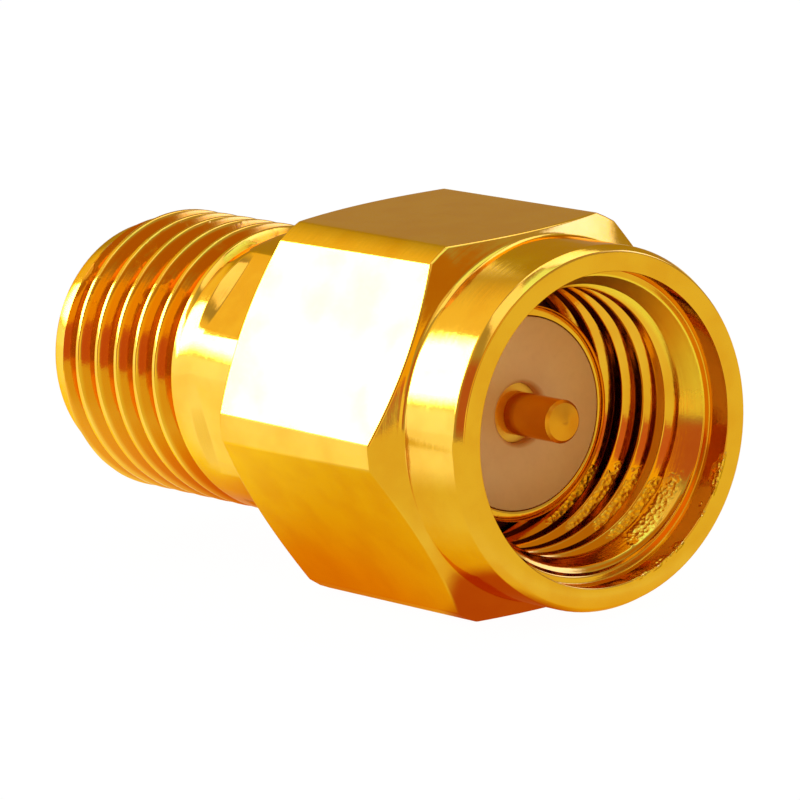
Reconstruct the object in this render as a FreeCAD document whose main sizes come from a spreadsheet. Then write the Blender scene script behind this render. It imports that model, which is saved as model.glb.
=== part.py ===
import FreeCAD, Part
import os
import Sketcher

# Coaxial attenuator: a threaded jack at one end, a pin plug with a loose coupling nut at the other, and a
# resistor chip between them. Every piece lies on one axis. Stations are measured along that axis from the
# jack's end face towards the plug's mouth, and each piece is then placed so that the nut lies on a flat.

doc = FreeCAD.newDocument("coaxial_attenuator")
sheet = doc.addObject("Spreadsheet::Sheet", "dims")

sizes = [
    # Jack body
    ("threadDiameter", 6.2, "Outer thread over its crests, and the barrel behind it"),
    ("threadPitch", 0.7056, "Pitch of the outer thread, 36 turns to the inch"),
    ("threadDepth", 0.4, "Depth of that thread"),
    ("threadAngle", 60.0, "Angle between its flanks, in degrees"),
    ("threadCrest", 0.12, "Width of its crest"),
    ("threadStart", 0.683, "Middle of the groove where its first turn starts"),
    ("threadLength", 4.2, "Length of the thread from there"),
    ("leadWall", 0.45, "Wall of the plain lead at the jack's end"),
    ("leadLength", 0.45, "Length of the plain lead"),
    ("leadTaper", 0.35, "Length of the cone from the lead up to the thread"),
    ("jackDepth", 1.9, "Depth of the jack's bore to the insulator's face"),
    ("entryChamfer", 0.2, "Chamfer at the mouth of that bore"),
    ("wrenchFlatDepth", 0.2, "Depth of the wrench flats below the barrel"),
    ("wrenchLength", 2.35, "Length of the wrench flats"),
    ("wrenchTurn", 13.0, "Turn of the wrench flats from the nut's flats, in degrees"),
    ("edgeBreak", 0.05, "Broken edge on small turned parts"),
    ("shoulderBreak", 0.1, "Broken edge on shoulders"),
    # Plug body
    ("contactWall", 0.23, "Wall of the plug's outer contact"),
    ("contactReach", 2.6, "Length of the outer contact ahead of the hub"),
    ("hubWall", 0.435, "Wall of the hub under the ring's groove"),
    ("hubLength", 2.6, "Length of the hub"),
    ("grooveDepth", 0.4, "Depth of the ring's groove in the hub"),
    ("spigotWall", 0.29, "Wall of the spigot pressed into the jack body"),
    ("spigotLength", 1.8, "Length of the spigot"),
    ("spigotEndGap", 0.05, "Room behind the spigot's end"),
    # Centre line parts
    ("insulatorDiameter", 4.11, "Both insulators"),
    ("plugInsulatorLength", 4.8, "Plug insulator in its narrow bore"),
    ("jackInsulatorLength", 2.0, "Jack insulator in its narrow bore"),
    ("flangeLength", 0.4, "Flange at the inner end of each insulator"),
    ("flangeStep", 0.145, "Height of that flange"),
    ("conductorDiameter", 1.27, "Centre conductor in the insulators"),
    ("pinDiameter", 0.92, "Mating pin"),
    ("pinReach", 1.5, "Mating pin ahead of the insulator's face"),
    ("pinRecess", 0.25, "Depth at which the conductor steps down to the pin"),
    ("pinBevel", 0.06, "Broken edge of the pin's tip"),
    ("pinCrown", 0.08, "Height of the pin's shallow point"),
    ("socketBore", 0.93, "Bore of the jack's socket"),
    ("socketDepth", 2.0, "Depth of that bore"),
    ("socketRecess", 0.05, "Socket's end behind the insulator's face"),
    ("socketEntry", 0.08, "Chamfer at the socket's mouth"),
    ("fingerSlit", 0.15, "Width of the slits between the socket's fingers"),
    ("fingerLength", 1.5, "Length of those slits"),
    ("stopDiameter", 1.7, "Collar that stops each contact behind its insulator"),
    ("stopLength", 0.2, "Length of that collar"),
    ("forkGrip", 0.55, "Length of the chip in each contact's fork"),
    # Coupling nut
    ("nutFlats", 8.0, "Across the nut's flats"),
    ("cornerTrim", 0.147, "Depth turned off the nut's corners"),
    ("nutOverhang", 2.8, "Nut's mouth ahead of the insulator's face"),
    ("collarSetback", 0.16, "Nut's round collar below its flats"),
    ("collarReach", 1.9, "Length of the collar"),
    ("collarBevelDepth", 0.11, "Depth of the bevel at the collar's end"),
    ("collarBevelLength", 0.24, "Length of that bevel"),
    ("nutBackSetback", 0.15, "Outer edge of the nut's back face below its flats"),
    ("nutConeAngle", 30.0, "Cones at the ends of the flats, in degrees from a flat cut"),
    ("mouthDepth", 0.6, "Depth of the nut's plain mouth"),
    ("leadInAngle", 30.0, "Lead-in cone, in degrees from the axis"),
    ("innerThreadDepth", 0.28, "Inner thread's crests inside the outer thread's"),
    ("reliefAhead", 0.4, "Relief ahead of the gasket"),
    # Split ring and gasket
    ("ringWidth", 0.4, "Width of the split ring"),
    ("ringThickness", 0.65, "Thickness of the split ring"),
    ("ringGap", 30.0, "Opening of the split ring, in degrees"),
    ("ringSetback", 1.2, "Middle of the ring behind the hub's face"),
    ("nutFloat", 0.15, "Travel of the nut along the axis, each way"),
    ("gasketThickness", 0.6, "Thickness of the gasket"),
    ("gasketBevel", 0.15, "Bevel on the gasket's edges"),
    # Resistor chip and its clamps
    ("carrierLength", 3.5, "Length of the half-round clamps"),
    ("clampWidth", 0.25, "Width of the chip's edge held in the clamps"),
    ("chipLength", 2.8, "Ceramic chip along the axis"),
    ("chipWidth", 3.4, "Ceramic chip across"),
    ("chipThickness", 0.3, "Ceramic chip"),
    ("filmThickness", 0.02, "Printed films"),
    ("padLength", 0.7, "Pads under the forks"),
    ("padWidth", 1.2, "Width of the pads"),
    ("centrePadLength", 0.3, "Length of the pad between the series films"),
    ("seriesWidth", 0.8, "Width of the series films"),
    ("shuntWidth", 0.3, "Width of the shunt films"),
    ("groundWidth", 0.3, "Width of the earth strips"),
    # Clearances
    ("pressGap", 0.01, "Radial room of pieces that are pressed together"),
    ("matingGap", 0.005, "Radial room of a mating outer contact in the jack"),
    ("runningGap", 0.05, "Radial room of the nut on the hub"),
    ("mouthGap", 0.2, "Radial room of a mating thread in the nut's mouth"),
    ("leadInGap", 0.05, "Radial room of a mating thread at the lead-in cone"),
    ("reliefGap", 0.1, "Radial room of a mating thread in the relief"),
    ("reliefStep", 0.1, "Least step from the relief down to the nut's bore"),
    ("reliefRoom", 0.05, "Relief behind the hub's face with the nut forward"),
    ("nutBackRoom", 0.1, "Gap to the wrench flats with the nut back"),
    ("ringSideGap", 0.02, "Room beside the ring in the hub's groove"),
    ("ringDepthGap", 0.05, "Room inside the ring in the hub's groove"),
    ("ringOuterGap", 0.1, "Room outside the ring in the nut's groove"),
    ("gasketGap", 0.02, "Radial room of the gasket on the outer contact"),
    ("gasketRim", 0.1, "Radial room of the gasket in the nut's relief"),
    ("chipGap", 0.02, "Room beside the chip in its clamps"),
    ("chipEndGap", 0.05, "Room at the chip's ends in the forks"),
]
for row, (alias, number, note) in enumerate(sizes, 1):
    sheet.set(f"A{row}", note)
    sheet.set(f"B{row}", str(number))
    sheet.setAlias(f"B{row}", alias)
doc.recompute()

# Stations along the axis, from the jack's end face
jack_plane = "dims.jackDepth"
jack_seat = f"({jack_plane} + dims.jackInsulatorLength)"
carrier_back = f"({jack_seat} + dims.flangeLength)"
carrier_front = f"({carrier_back} + dims.carrierLength)"
plug_seat = f"({carrier_front} + dims.flangeLength)"
plug_plane = f"({plug_seat} + dims.plugInsulatorLength)"
hub_front = f"({plug_plane} - dims.contactReach)"
hub_back = f"({hub_front} - dims.hubLength)"
spigot_end = f"({hub_back} - dims.spigotLength)"
spigot_seat = f"({spigot_end} - dims.spigotEndGap)"
wrench_back = f"({hub_back} - dims.wrenchLength)"
ring_middle = f"({hub_front} - dims.ringSetback)"
gasket_front = f"({hub_front} + dims.gasketThickness)"
nut_mouth = f"({plug_plane} + dims.nutOverhang)"
nut_back = f"({hub_back} + dims.nutFloat + dims.nutBackRoom)"
chip_back = f"(({carrier_back} + {carrier_front} - dims.chipLength) / 2)"
chip_front = f"({chip_back} + dims.chipLength)"

# Radii and heights that more than one piece uses
barrel = "(dims.threadDiameter / 2)"
sleeve = "(dims.insulatorDiameter / 2)"
narrow_bore = f"({sleeve} + dims.pressGap)"
contact_tube = f"({narrow_bore} + dims.contactWall)"
carrier_radius = f"({sleeve} + dims.flangeStep)"
wide_bore = f"({carrier_radius} + dims.pressGap)"
spigot = f"({wide_bore} + dims.spigotWall)"
groove_floor = f"({narrow_bore} + dims.hubWall)"
hub = f"({groove_floor} + dims.grooveDepth)"
ring_inside = f"({groove_floor} + dims.ringDepthGap)"
ring_outside = f"({ring_inside} + dims.ringThickness)"
nut_bore = f"({hub} + dims.runningGap)"
relief = f"max({barrel} + dims.reliefGap; {nut_bore} + dims.reliefStep)"
conductor = "(dims.conductorDiameter / 2)"
conductor_hole = f"({conductor} + dims.pressGap)"
stop_collar = "(dims.stopDiameter / 2)"
chip_top = "(dims.chipThickness / 2)"
film_top = f"({chip_top} + dims.filmThickness)"
chip_side = "(dims.chipWidth / 2)"


def value_of(text):
    return float(sheet.evalExpression(text))


def place(piece, along="0", across="0", up="0"):
    piece.setExpression("Placement.Base.x", f"{along} - {nut_mouth} / 2")
    piece.setExpression("Placement.Base.y", across)
    piece.setExpression("Placement.Base.z", f"{up} + dims.nutFlats / 2")


def new_body(label, turn=None):
    body = doc.addObject("PartDesign::Body", label)
    body.Label = label
    if turn:
        body.Placement = FreeCAD.Placement(FreeCAD.Vector(), FreeCAD.Rotation(FreeCAD.Vector(1, 0, 0), 1))
        body.setExpression("Placement.Rotation.Angle", turn)
    place(body)
    return body


def new_sketch(body, name, plane, offset=None):
    sketch = body.newObject("Sketcher::SketchObject", name)
    datum = [item for item in body.Origin.OriginFeatures if item.Role == plane][0]
    sketch.AttachmentSupport = (datum, [""])
    sketch.MapMode = "FlatFace"
    if offset:
        sketch.setExpression("AttachmentOffset.Base.z", offset)
    return sketch


def hold_vertex(sketch, line, along, out):
    # Fixes a line's first point: on an axis where it is "0", and by a named size elsewhere
    origin, axis_h, axis_v = -1, -1, -2
    if along == "0":
        sketch.addConstraint(Sketcher.Constraint("PointOnObject", line, 1, axis_v))
    else:
        index = sketch.addConstraint(Sketcher.Constraint("DistanceX", origin, 1, line, 1, value_of(along)))
        sketch.setExpression(f"Constraints[{index}]", along)
    if out == "0":
        sketch.addConstraint(Sketcher.Constraint("PointOnObject", line, 1, axis_h))
    else:
        index = sketch.addConstraint(Sketcher.Constraint("DistanceY", origin, 1, line, 1, value_of(out)))
        sketch.setExpression(f"Constraints[{index}]", out)


def outline(body, name, points, plane="XY_Plane"):
    # A closed outline of straight lines; each point is a pair of expressions, along the axis and out from it
    sketch = new_sketch(body, name, plane)
    corners = [FreeCAD.Vector(value_of(along), value_of(out), 0) for along, out in points]
    count = len(corners)
    for line in range(count):
        sketch.addGeometry(Part.LineSegment(corners[line], corners[(line + 1) % count]), False)
    for line in range(count):
        sketch.addConstraint(Sketcher.Constraint("Coincident", line, 2, (line + 1) % count, 1))
    for line, (along, out) in enumerate(points):
        hold_vertex(sketch, line, along, out)
    return sketch


def rectangle(along_from, along_to, low, high):
    return [(along_from, low), (along_to, low), (along_to, high), (along_from, high)]


def turned(body, name, points, angle="360"):
    turn = body.newObject("PartDesign::Revolution", name)
    turn.Profile = outline(body, f"{name}_outline", points)
    turn.ReferenceAxis = (turn.Profile[0], ["H_Axis"])
    turn.Angle = value_of(angle)
    if angle != "360":
        turn.setExpression("Angle", angle)
    doc.recompute()
    return turn


def grooved(body, name, points):
    groove = body.newObject("PartDesign::Groove", name)
    groove.Profile = outline(body, f"{name}_outline", points)
    groove.ReferenceAxis = (groove.Profile[0], ["H_Axis"])
    groove.Angle = 360
    doc.recompute()
    return groove


def pocketed(body, name, points, plane):
    # A cut right through, to both sides of the sketch's plane
    pocket = body.newObject("PartDesign::Pocket", name)
    pocket.Profile = outline(body, f"{name}_outline", points, plane)
    pocket.Type = "ThroughAll"
    pocket.Midplane = True
    doc.recompute()
    return pocket


def patterned(body, name, feature, count, angle=360):
    pattern = body.newObject("PartDesign::PolarPattern", name)
    pattern.Originals = [feature]
    pattern.Axis = ([item for item in body.Origin.OriginFeatures if item.Role == "X_Axis"][0], [""])
    pattern.Angle = angle
    pattern.Occurrences = count
    body.Tip = pattern
    doc.recompute()
    return pattern


# Jack body: barrel, wrench flats and the bores that hold the rest
jack_body = new_body("jack_body", "dims.wrenchTurn")
jack_bore = f"({contact_tube} + dims.matingGap)"
lead = f"({jack_bore} + dims.leadWall)"
turned(jack_body, "barrel", [
    ("0", f"{jack_bore} + dims.entryChamfer"),
    ("dims.entryChamfer", jack_bore),
    (jack_plane, jack_bore),
    (jack_plane, narrow_bore),
    (jack_seat, narrow_bore),
    (jack_seat, wide_bore),
    (spigot_seat, wide_bore),
    (spigot_seat, f"{spigot} + dims.pressGap"),
    (hub_back, f"{spigot} + dims.pressGap"),
    (hub_back, f"{barrel} - dims.shoulderBreak"),
    (f"{hub_back} - dims.shoulderBreak", barrel),
    ("dims.leadLength + dims.leadTaper", barrel),
    ("dims.leadLength", lead),
    ("dims.edgeBreak", lead),
    ("0", f"{lead} - dims.edgeBreak"),
])
# One flat is milled past the barrel's surface, then repeated round the axis
wrench_flat = pocketed(jack_body, "wrench_flat", rectangle(
    wrench_back, f"{hub_back} + dims.edgeBreak", f"{barrel} - dims.wrenchFlatDepth",
    f"{barrel} + dims.shoulderBreak"), "XY_Plane")
patterned(jack_body, "wrench_flats", wrench_flat, 6)

# The thread's groove follows a right-hand helix that starts on the cone and runs out on the barrel
thread_gap = "((dims.threadPitch - dims.threadCrest) / 2)"
flank_slope = "tan(dims.threadAngle / 2)"
thread_floor = f"({thread_gap} - dims.threadDepth * {flank_slope})"
thread_mouth = f"({thread_gap} + dims.edgeBreak * {flank_slope})"
outer_thread = jack_body.newObject("PartDesign::SubtractiveHelix", "outer_thread")
outer_thread.Profile = outline(jack_body, "outer_thread_outline", [
    (f"dims.threadStart - {thread_floor}", f"{barrel} - dims.threadDepth"),
    (f"dims.threadStart + {thread_floor}", f"{barrel} - dims.threadDepth"),
    (f"dims.threadStart + {thread_mouth}", f"{barrel} + dims.edgeBreak"),
    (f"dims.threadStart - {thread_mouth}", f"{barrel} + dims.edgeBreak"),
])
outer_thread.ReferenceAxis = (outer_thread.Profile[0], ["H_Axis"])
outer_thread.Mode = "pitch-height-angle"
outer_thread.setExpression("Pitch", "dims.threadPitch")
outer_thread.setExpression("Height", "dims.threadLength")
doc.recompute()

# Plug body: thin outer contact, hub with the ring's groove, and the spigot
plug_body = new_body("plug_body")
groove_back = f"({ring_middle} - dims.ringWidth / 2 - dims.ringSideGap)"
groove_front = f"({ring_middle} + dims.ringWidth / 2 + dims.ringSideGap)"
turned(plug_body, "hub", [
    (spigot_end, wide_bore),
    (plug_seat, wide_bore),
    (plug_seat, narrow_bore),
    (plug_plane, narrow_bore),
    (plug_plane, f"{contact_tube} - dims.edgeBreak"),
    (f"{plug_plane} - dims.edgeBreak", contact_tube),
    (hub_front, contact_tube),
    (hub_front, f"{hub} - dims.shoulderBreak"),
    (f"{hub_front} - dims.shoulderBreak", hub),
    (groove_front, hub),
    (groove_front, groove_floor),
    (groove_back, groove_floor),
    (groove_back, hub),
    (hub_back, hub),
    (hub_back, spigot),
    (f"{spigot_end} + dims.shoulderBreak", spigot),
    (spigot_end, f"{spigot} - dims.shoulderBreak"),
])

# Coupling nut: a length of hexagonal bar, turned down outside and bored in steps
coupling_nut = new_body("coupling_nut")
bar_sketch = new_sketch(coupling_nut, "bar_outline", "YZ_Plane", nut_back)
bar_corner = value_of("dims.nutFlats / sqrt(3)")
hexagon = [FreeCAD.Vector(bar_corner, 0, 0)]
turn_step = FreeCAD.Rotation(FreeCAD.Vector(0, 0, 1), 60)
while len(hexagon) < 6:
    hexagon.append(turn_step.multVec(hexagon[-1]))
for side in range(6):
    bar_sketch.addGeometry(Part.LineSegment(hexagon[side], hexagon[(side + 1) % 6]), False)
guide = bar_sketch.addGeometry(Part.Circle(FreeCAD.Vector(), FreeCAD.Vector(0, 0, 1), bar_corner), True)
bar_sketch.addConstraint(Sketcher.Constraint("Coincident", guide, 3, -1, 1))
for side in range(6):
    bar_sketch.addConstraint(Sketcher.Constraint("Coincident", side, 2, (side + 1) % 6, 1))
    bar_sketch.addConstraint(Sketcher.Constraint("PointOnObject", side, 1, guide))
for side in range(5):
    bar_sketch.addConstraint(Sketcher.Constraint("Equal", side, side + 1))
bar_sketch.addConstraint(Sketcher.Constraint("PointOnObject", 0, 1, -1))
corner_size = bar_sketch.addConstraint(Sketcher.Constraint("Radius", guide, bar_corner))
bar_sketch.setExpression(f"Constraints[{corner_size}]", "dims.nutFlats / sqrt(3)")
bar = coupling_nut.newObject("PartDesign::Pad", "bar")
bar.Profile = bar_sketch
bar.setExpression("Length", f"{nut_mouth} - {nut_back}")
doc.recompute()

flat = "(dims.nutFlats / 2)"
corner = "(dims.nutFlats / sqrt(3) - dims.cornerTrim)"
collar = f"({flat} - dims.collarSetback)"
back_edge = f"({flat} - dims.nutBackSetback)"
clear_of_bar = "dims.nutFlats"
cone_slope = "tan(dims.nutConeAngle)"
collar_root = f"({nut_mouth} - dims.collarReach)"
grooved(coupling_nut, "turned_outside", [
    (nut_mouth, f"{collar} - dims.collarBevelDepth"),
    (f"{nut_mouth} - dims.collarBevelLength", collar),
    (collar_root, collar),
    (f"{collar_root} - ({corner} - {collar}) * {cone_slope}", corner),
    (f"{nut_back} + ({corner} - {back_edge}) * {cone_slope}", corner),
    (nut_back, back_edge),
    (nut_back, clear_of_bar),
    (nut_mouth, clear_of_bar),
])
mouth_floor = f"({nut_mouth} - dims.mouthDepth)"
lead_in = f"({barrel} + dims.leadInGap)"
inner_thread = f"({barrel} - dims.innerThreadDepth)"
relief_front = f"({gasket_front} + dims.reliefAhead)"
relief_back = f"({hub_front} - dims.nutFloat - dims.reliefRoom)"
ring_pocket = f"({ring_outside} + dims.ringOuterGap)"
pocket_reach = "(dims.ringWidth / 2 + dims.ringSideGap + dims.nutFloat)"
grooved(coupling_nut, "bored_inside", [
    (nut_mouth, "0"),
    (nut_mouth, f"{barrel} + dims.mouthGap"),
    (mouth_floor, f"{barrel} + dims.mouthGap"),
    (mouth_floor, lead_in),
    (f"{mouth_floor} - ({lead_in} - {inner_thread}) / tan(dims.leadInAngle)", inner_thread),
    (relief_front, inner_thread),
    (relief_front, relief),
    (relief_back, relief),
    (relief_back, nut_bore),
    (f"{ring_middle} + {pocket_reach}", nut_bore),
    (f"{ring_middle} + {pocket_reach}", ring_pocket),
    (f"{ring_middle} - {pocket_reach}", ring_pocket),
    (f"{ring_middle} - {pocket_reach}", nut_bore),
    (nut_back, nut_bore),
    (nut_back, "0"),
])

# Split ring in the two grooves
retaining_ring = new_body("retaining_ring")
turned(retaining_ring, "ring", rectangle(
    f"{ring_middle} - dims.ringWidth / 2", f"{ring_middle} + dims.ringWidth / 2",
    ring_inside, ring_outside), "360 - dims.ringGap")

# Gasket at the foot of the outer contact
gasket = new_body("gasket")
gasket_inside = f"({contact_tube} + dims.gasketGap)"
gasket_outside = f"({relief} - dims.gasketRim)"
turned(gasket, "washer", [
    (hub_front, f"{gasket_inside} + dims.gasketBevel"),
    (hub_front, f"{gasket_outside} - dims.gasketBevel"),
    (f"{hub_front} + dims.gasketBevel", gasket_outside),
    (f"{gasket_front} - dims.gasketBevel", gasket_outside),
    (gasket_front, f"{gasket_outside} - dims.gasketBevel"),
    (gasket_front, f"{gasket_inside} + dims.gasketBevel"),
    (f"{gasket_front} - dims.gasketBevel", gasket_inside),
    (f"{hub_front} + dims.gasketBevel", gasket_inside),
])


def insulator(label, mating_face, seat, inner_face):
    # A sleeve with a flange at its inner end, which the clamps hold against the shoulder of the bore
    body = new_body(label)
    turned(body, "sleeve", [
        (inner_face, conductor_hole),
        (mating_face, conductor_hole),
        (mating_face, sleeve),
        (seat, sleeve),
        (seat, carrier_radius),
        (inner_face, carrier_radius),
    ])


insulator("plug_insulator", plug_plane, plug_seat, carrier_front)
insulator("jack_insulator", jack_plane, jack_seat, carrier_back)


def fork_slot(body, bottom, end):
    # The slot takes the chip and the pad printed on it
    pocketed(body, "fork_slot", rectangle(bottom, end, f"-{chip_top}", film_top), "XZ_Plane")


# Plug pin
plug_pin = new_body("plug_pin")
pin_radius = "dims.pinDiameter / 2"
pin_tip = f"({plug_plane} + dims.pinReach)"
pin_edge = f"({pin_tip} - dims.pinCrown)"
pin_stop = f"({carrier_front} - dims.stopLength)"
pin_fork = f"({chip_front} - dims.forkGrip)"
turned(plug_pin, "pin", [
    (pin_fork, "0"),
    (pin_fork, conductor),
    (pin_stop, conductor),
    (pin_stop, stop_collar),
    (carrier_front, stop_collar),
    (carrier_front, conductor),
    (f"{plug_plane} - dims.pinRecess", conductor),
    (f"{plug_plane} - dims.pinRecess", pin_radius),
    (f"{pin_edge} - dims.pinBevel", pin_radius),
    (pin_edge, f"{pin_radius} - dims.pinBevel"),
    (pin_tip, "0"),
])
fork_slot(plug_pin, f"{chip_front} + dims.chipEndGap", f"{pin_fork} - dims.edgeBreak")

# Jack socket: fork, collar and four fingers
jack_socket = new_body("jack_socket")
socket_radius = "dims.socketBore / 2"
socket_end = f"({jack_plane} + dims.socketRecess)"
socket_stop = f"({carrier_back} + dims.stopLength)"
socket_fork = f"({chip_back} + dims.forkGrip)"
turned(jack_socket, "socket", [
    (socket_fork, "0"),
    (socket_fork, conductor),
    (socket_stop, conductor),
    (socket_stop, stop_collar),
    (carrier_back, stop_collar),
    (carrier_back, conductor),
    (socket_end, conductor),
    (socket_end, f"{socket_radius} + dims.socketEntry"),
    (f"{socket_end} + dims.socketEntry", socket_radius),
    (f"{socket_end} + dims.socketDepth", socket_radius),
    (f"{socket_end} + dims.socketDepth", "0"),
])
fork_slot(jack_socket, f"{chip_back} - dims.chipEndGap", f"{socket_fork} + dims.edgeBreak")
finger_slit = pocketed(jack_socket, "finger_slit", rectangle(
    f"{socket_end} - dims.edgeBreak", f"{socket_end} + dims.fingerLength",
    "-dims.fingerSlit / 2", "dims.fingerSlit / 2"), "XY_Plane")
patterned(jack_socket, "finger_slits", finger_slit, 2, 180)


def carrier(label, side, recess):
    # A half-round clamp: rails beside the chip, a recess on the chip's edge and a channel past the contacts
    body = new_body(label)
    sketch = new_sketch(body, "section", "YZ_Plane", carrier_back)
    channel_size = f"{chip_side} - dims.clampWidth"
    outside = value_of(carrier_radius)
    channel = value_of(channel_size)
    rail = value_of(f"{chip_side} + dims.chipGap")
    step = value_of(recess)
    channel_edge = (channel ** 2 - step ** 2) ** 0.5
    right = [FreeCAD.Vector(across, side * up, 0) for across, up in
             ((outside, 0), (rail, 0), (rail, step), (channel_edge, step))]
    left = [FreeCAD.Vector(-point.x, point.y, 0) for point in right]
    top_out = FreeCAD.Vector(0, side * outside, 0)
    top_in = FreeCAD.Vector(0, side * channel, 0)
    sketch.addGeometry(Part.Arc(right[0], top_out, left[0]), False)
    for start, end in zip(left, left[1:]):
        sketch.addGeometry(Part.LineSegment(start, end), False)
    sketch.addGeometry(Part.Arc(left[3], top_in, right[3]), False)
    for start, end in zip(right[::-1], right[2::-1]):
        sketch.addGeometry(Part.LineSegment(start, end), False)
    outer_arc, left_rail, left_wall, left_ledge, inner_arc, right_ledge, right_wall, right_rail = range(8)
    # An arc always runs anticlockwise, so which end is its first depends on the side
    first, last = (1, 2) if side > 0 else (2, 1)
    joints = [
        (outer_arc, last, left_rail, 1),
        (left_rail, 2, left_wall, 1),
        (left_wall, 2, left_ledge, 1),
        (left_ledge, 2, inner_arc, last),
        (inner_arc, first, right_ledge, 1),
        (right_ledge, 2, right_wall, 1),
        (right_wall, 2, right_rail, 1),
        (right_rail, 2, outer_arc, first),
    ]
    for joint in joints:
        sketch.addConstraint(Sketcher.Constraint("Coincident", *joint))
    for arc in (outer_arc, inner_arc):
        sketch.addConstraint(Sketcher.Constraint("Coincident", arc, 3, -1, 1))
    for arc, size in ((outer_arc, carrier_radius), (inner_arc, channel_size)):
        index = sketch.addConstraint(Sketcher.Constraint("Radius", arc, value_of(size)))
        sketch.setExpression(f"Constraints[{index}]", size)
    for rail_line in (left_rail, right_rail):
        sketch.addConstraint(Sketcher.Constraint("PointOnObject", rail_line, 1, -1))
        sketch.addConstraint(Sketcher.Constraint("PointOnObject", rail_line, 2, -1))
    for wall in (left_wall, right_wall):
        sketch.addConstraint(Sketcher.Constraint("Vertical", wall))
    for ledge in (left_ledge, right_ledge):
        sketch.addConstraint(Sketcher.Constraint("Horizontal", ledge))
    for wall, way in ((left_wall, -1), (right_wall, 1)):
        size = f"{way} * ({chip_side} + dims.chipGap)"
        index = sketch.addConstraint(Sketcher.Constraint("DistanceX", -1, 1, wall, 1, value_of(size)))
        sketch.setExpression(f"Constraints[{index}]", size)
    for ledge, end in ((left_ledge, 2), (right_ledge, 1)):
        size = f"{side} * {recess}"
        index = sketch.addConstraint(Sketcher.Constraint("DistanceY", -1, 1, ledge, end, value_of(size)))
        sketch.setExpression(f"Constraints[{index}]", size)
    clamp = body.newObject("PartDesign::Pad", "clamp")
    clamp.Profile = sketch
    clamp.setExpression("Length", "dims.carrierLength")
    doc.recompute()


carrier("carrier_upper", 1, film_top)
carrier("carrier_lower", -1, chip_top)


def block(label, back, left, bottom, length, width, height):
    # A plain rectangular piece, given by its low corner and its three sizes
    box = doc.addObject("Part::Box", label)
    box.Label = label
    box.setExpression("Length", length)
    box.setExpression("Width", width)
    box.setExpression("Height", height)
    place(box, back, left, bottom)


def film(label, back, left, length, width):
    block(label, back, left, chip_top, length, width, "dims.filmThickness")


# Chip, and the films printed on its top
block("chip_substrate", chip_back, f"-{chip_side}", f"-{chip_top}",
      "dims.chipLength", "dims.chipWidth", "dims.chipThickness")
pad_side = "(dims.padWidth / 2)"
series_side = "(dims.seriesWidth / 2)"
series_length = "((dims.chipLength - 2 * dims.padLength - dims.centrePadLength) / 2)"
middle_back = f"({chip_back} + dims.padLength + {series_length})"
middle_front = f"({middle_back} + dims.centrePadLength)"
film("output_pad", chip_back, f"-{pad_side}", "dims.padLength", "dims.padWidth")
film("series_film_output", f"{chip_back} + dims.padLength", f"-{series_side}",
     series_length, "dims.seriesWidth")
film("centre_pad", middle_back, f"-{pad_side}", "dims.centrePadLength", "dims.padWidth")
film("series_film_input", middle_front, f"-{series_side}", series_length, "dims.seriesWidth")
film("input_pad", f"{chip_front} - dims.padLength", f"-{pad_side}", "dims.padLength", "dims.padWidth")
shunt_length = f"({chip_side} - dims.groundWidth - {pad_side})"
shunt_back = f"({middle_back} + (dims.centrePadLength - dims.shuntWidth) / 2)"
for side_name, shunt_low, ground_low in (
        ("left", pad_side, f"{chip_side} - dims.groundWidth"),
        ("right", f"dims.groundWidth - {chip_side}", f"-{chip_side}")):
    film(f"shunt_film_{side_name}", shunt_back, shunt_low, "dims.shuntWidth", shunt_length)
    film(f"ground_strip_{side_name}", chip_back, ground_low, "dims.chipLength", "dims.groundWidth")

doc.recompute()

# Every object is checked before any file is written
for item in doc.Objects:
    for state in ("Invalid", "Error"):
        if state in item.State:
            raise RuntimeError(f"{item.Name} is {state}")
pieces = [item for item in doc.Objects if item.TypeId in ("PartDesign::Body", "Part::Box")]
for piece in pieces:
    if piece.Shape.isNull() or not piece.Shape.isValid() or len(piece.Shape.Solids) != 1:
        raise RuntimeError(f"{piece.Label} is not one sound solid")

os.makedirs("parts", exist_ok=True)
for piece in pieces:
    piece.Shape.exportStep(f"parts/{piece.Label}.step")
    box = piece.Shape.BoundBox
    print(f"{piece.Label}: {piece.Shape.Volume:.3f} mm3, x {box.XMin:.2f} to {box.XMax:.2f}, "
          f"y {box.YMin:.2f} to {box.YMax:.2f}, z {box.ZMin:.2f} to {box.ZMax:.2f}")
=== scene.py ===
import math

import bmesh
import bpy
from mathutils import Matrix, Vector


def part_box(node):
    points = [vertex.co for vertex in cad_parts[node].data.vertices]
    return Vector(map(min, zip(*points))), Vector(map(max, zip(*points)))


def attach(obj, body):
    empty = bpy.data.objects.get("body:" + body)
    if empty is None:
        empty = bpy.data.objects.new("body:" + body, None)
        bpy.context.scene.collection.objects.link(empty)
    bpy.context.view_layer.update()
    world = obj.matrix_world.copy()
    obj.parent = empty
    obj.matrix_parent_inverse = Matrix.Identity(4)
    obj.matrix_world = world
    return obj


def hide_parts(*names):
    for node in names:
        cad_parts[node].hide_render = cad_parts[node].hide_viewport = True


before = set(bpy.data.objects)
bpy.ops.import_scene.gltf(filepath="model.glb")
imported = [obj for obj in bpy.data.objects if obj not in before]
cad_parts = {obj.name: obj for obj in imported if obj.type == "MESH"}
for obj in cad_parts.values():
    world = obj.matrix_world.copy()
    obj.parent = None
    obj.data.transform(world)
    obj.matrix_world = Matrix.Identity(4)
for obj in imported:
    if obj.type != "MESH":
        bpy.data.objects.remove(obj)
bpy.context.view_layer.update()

# A short coaxial attenuator: threaded jack on the left, loose coupling nut round a pin plug on the right.
# Pieces are made in millimetres round the X axis, then scaled and lifted onto the connector's own axis.
mm = 0.001
sameStation = 1e-3  # corners closer than this along the axis count as being at one station
print("frame loaded with", len(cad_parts), "nodes")


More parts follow.
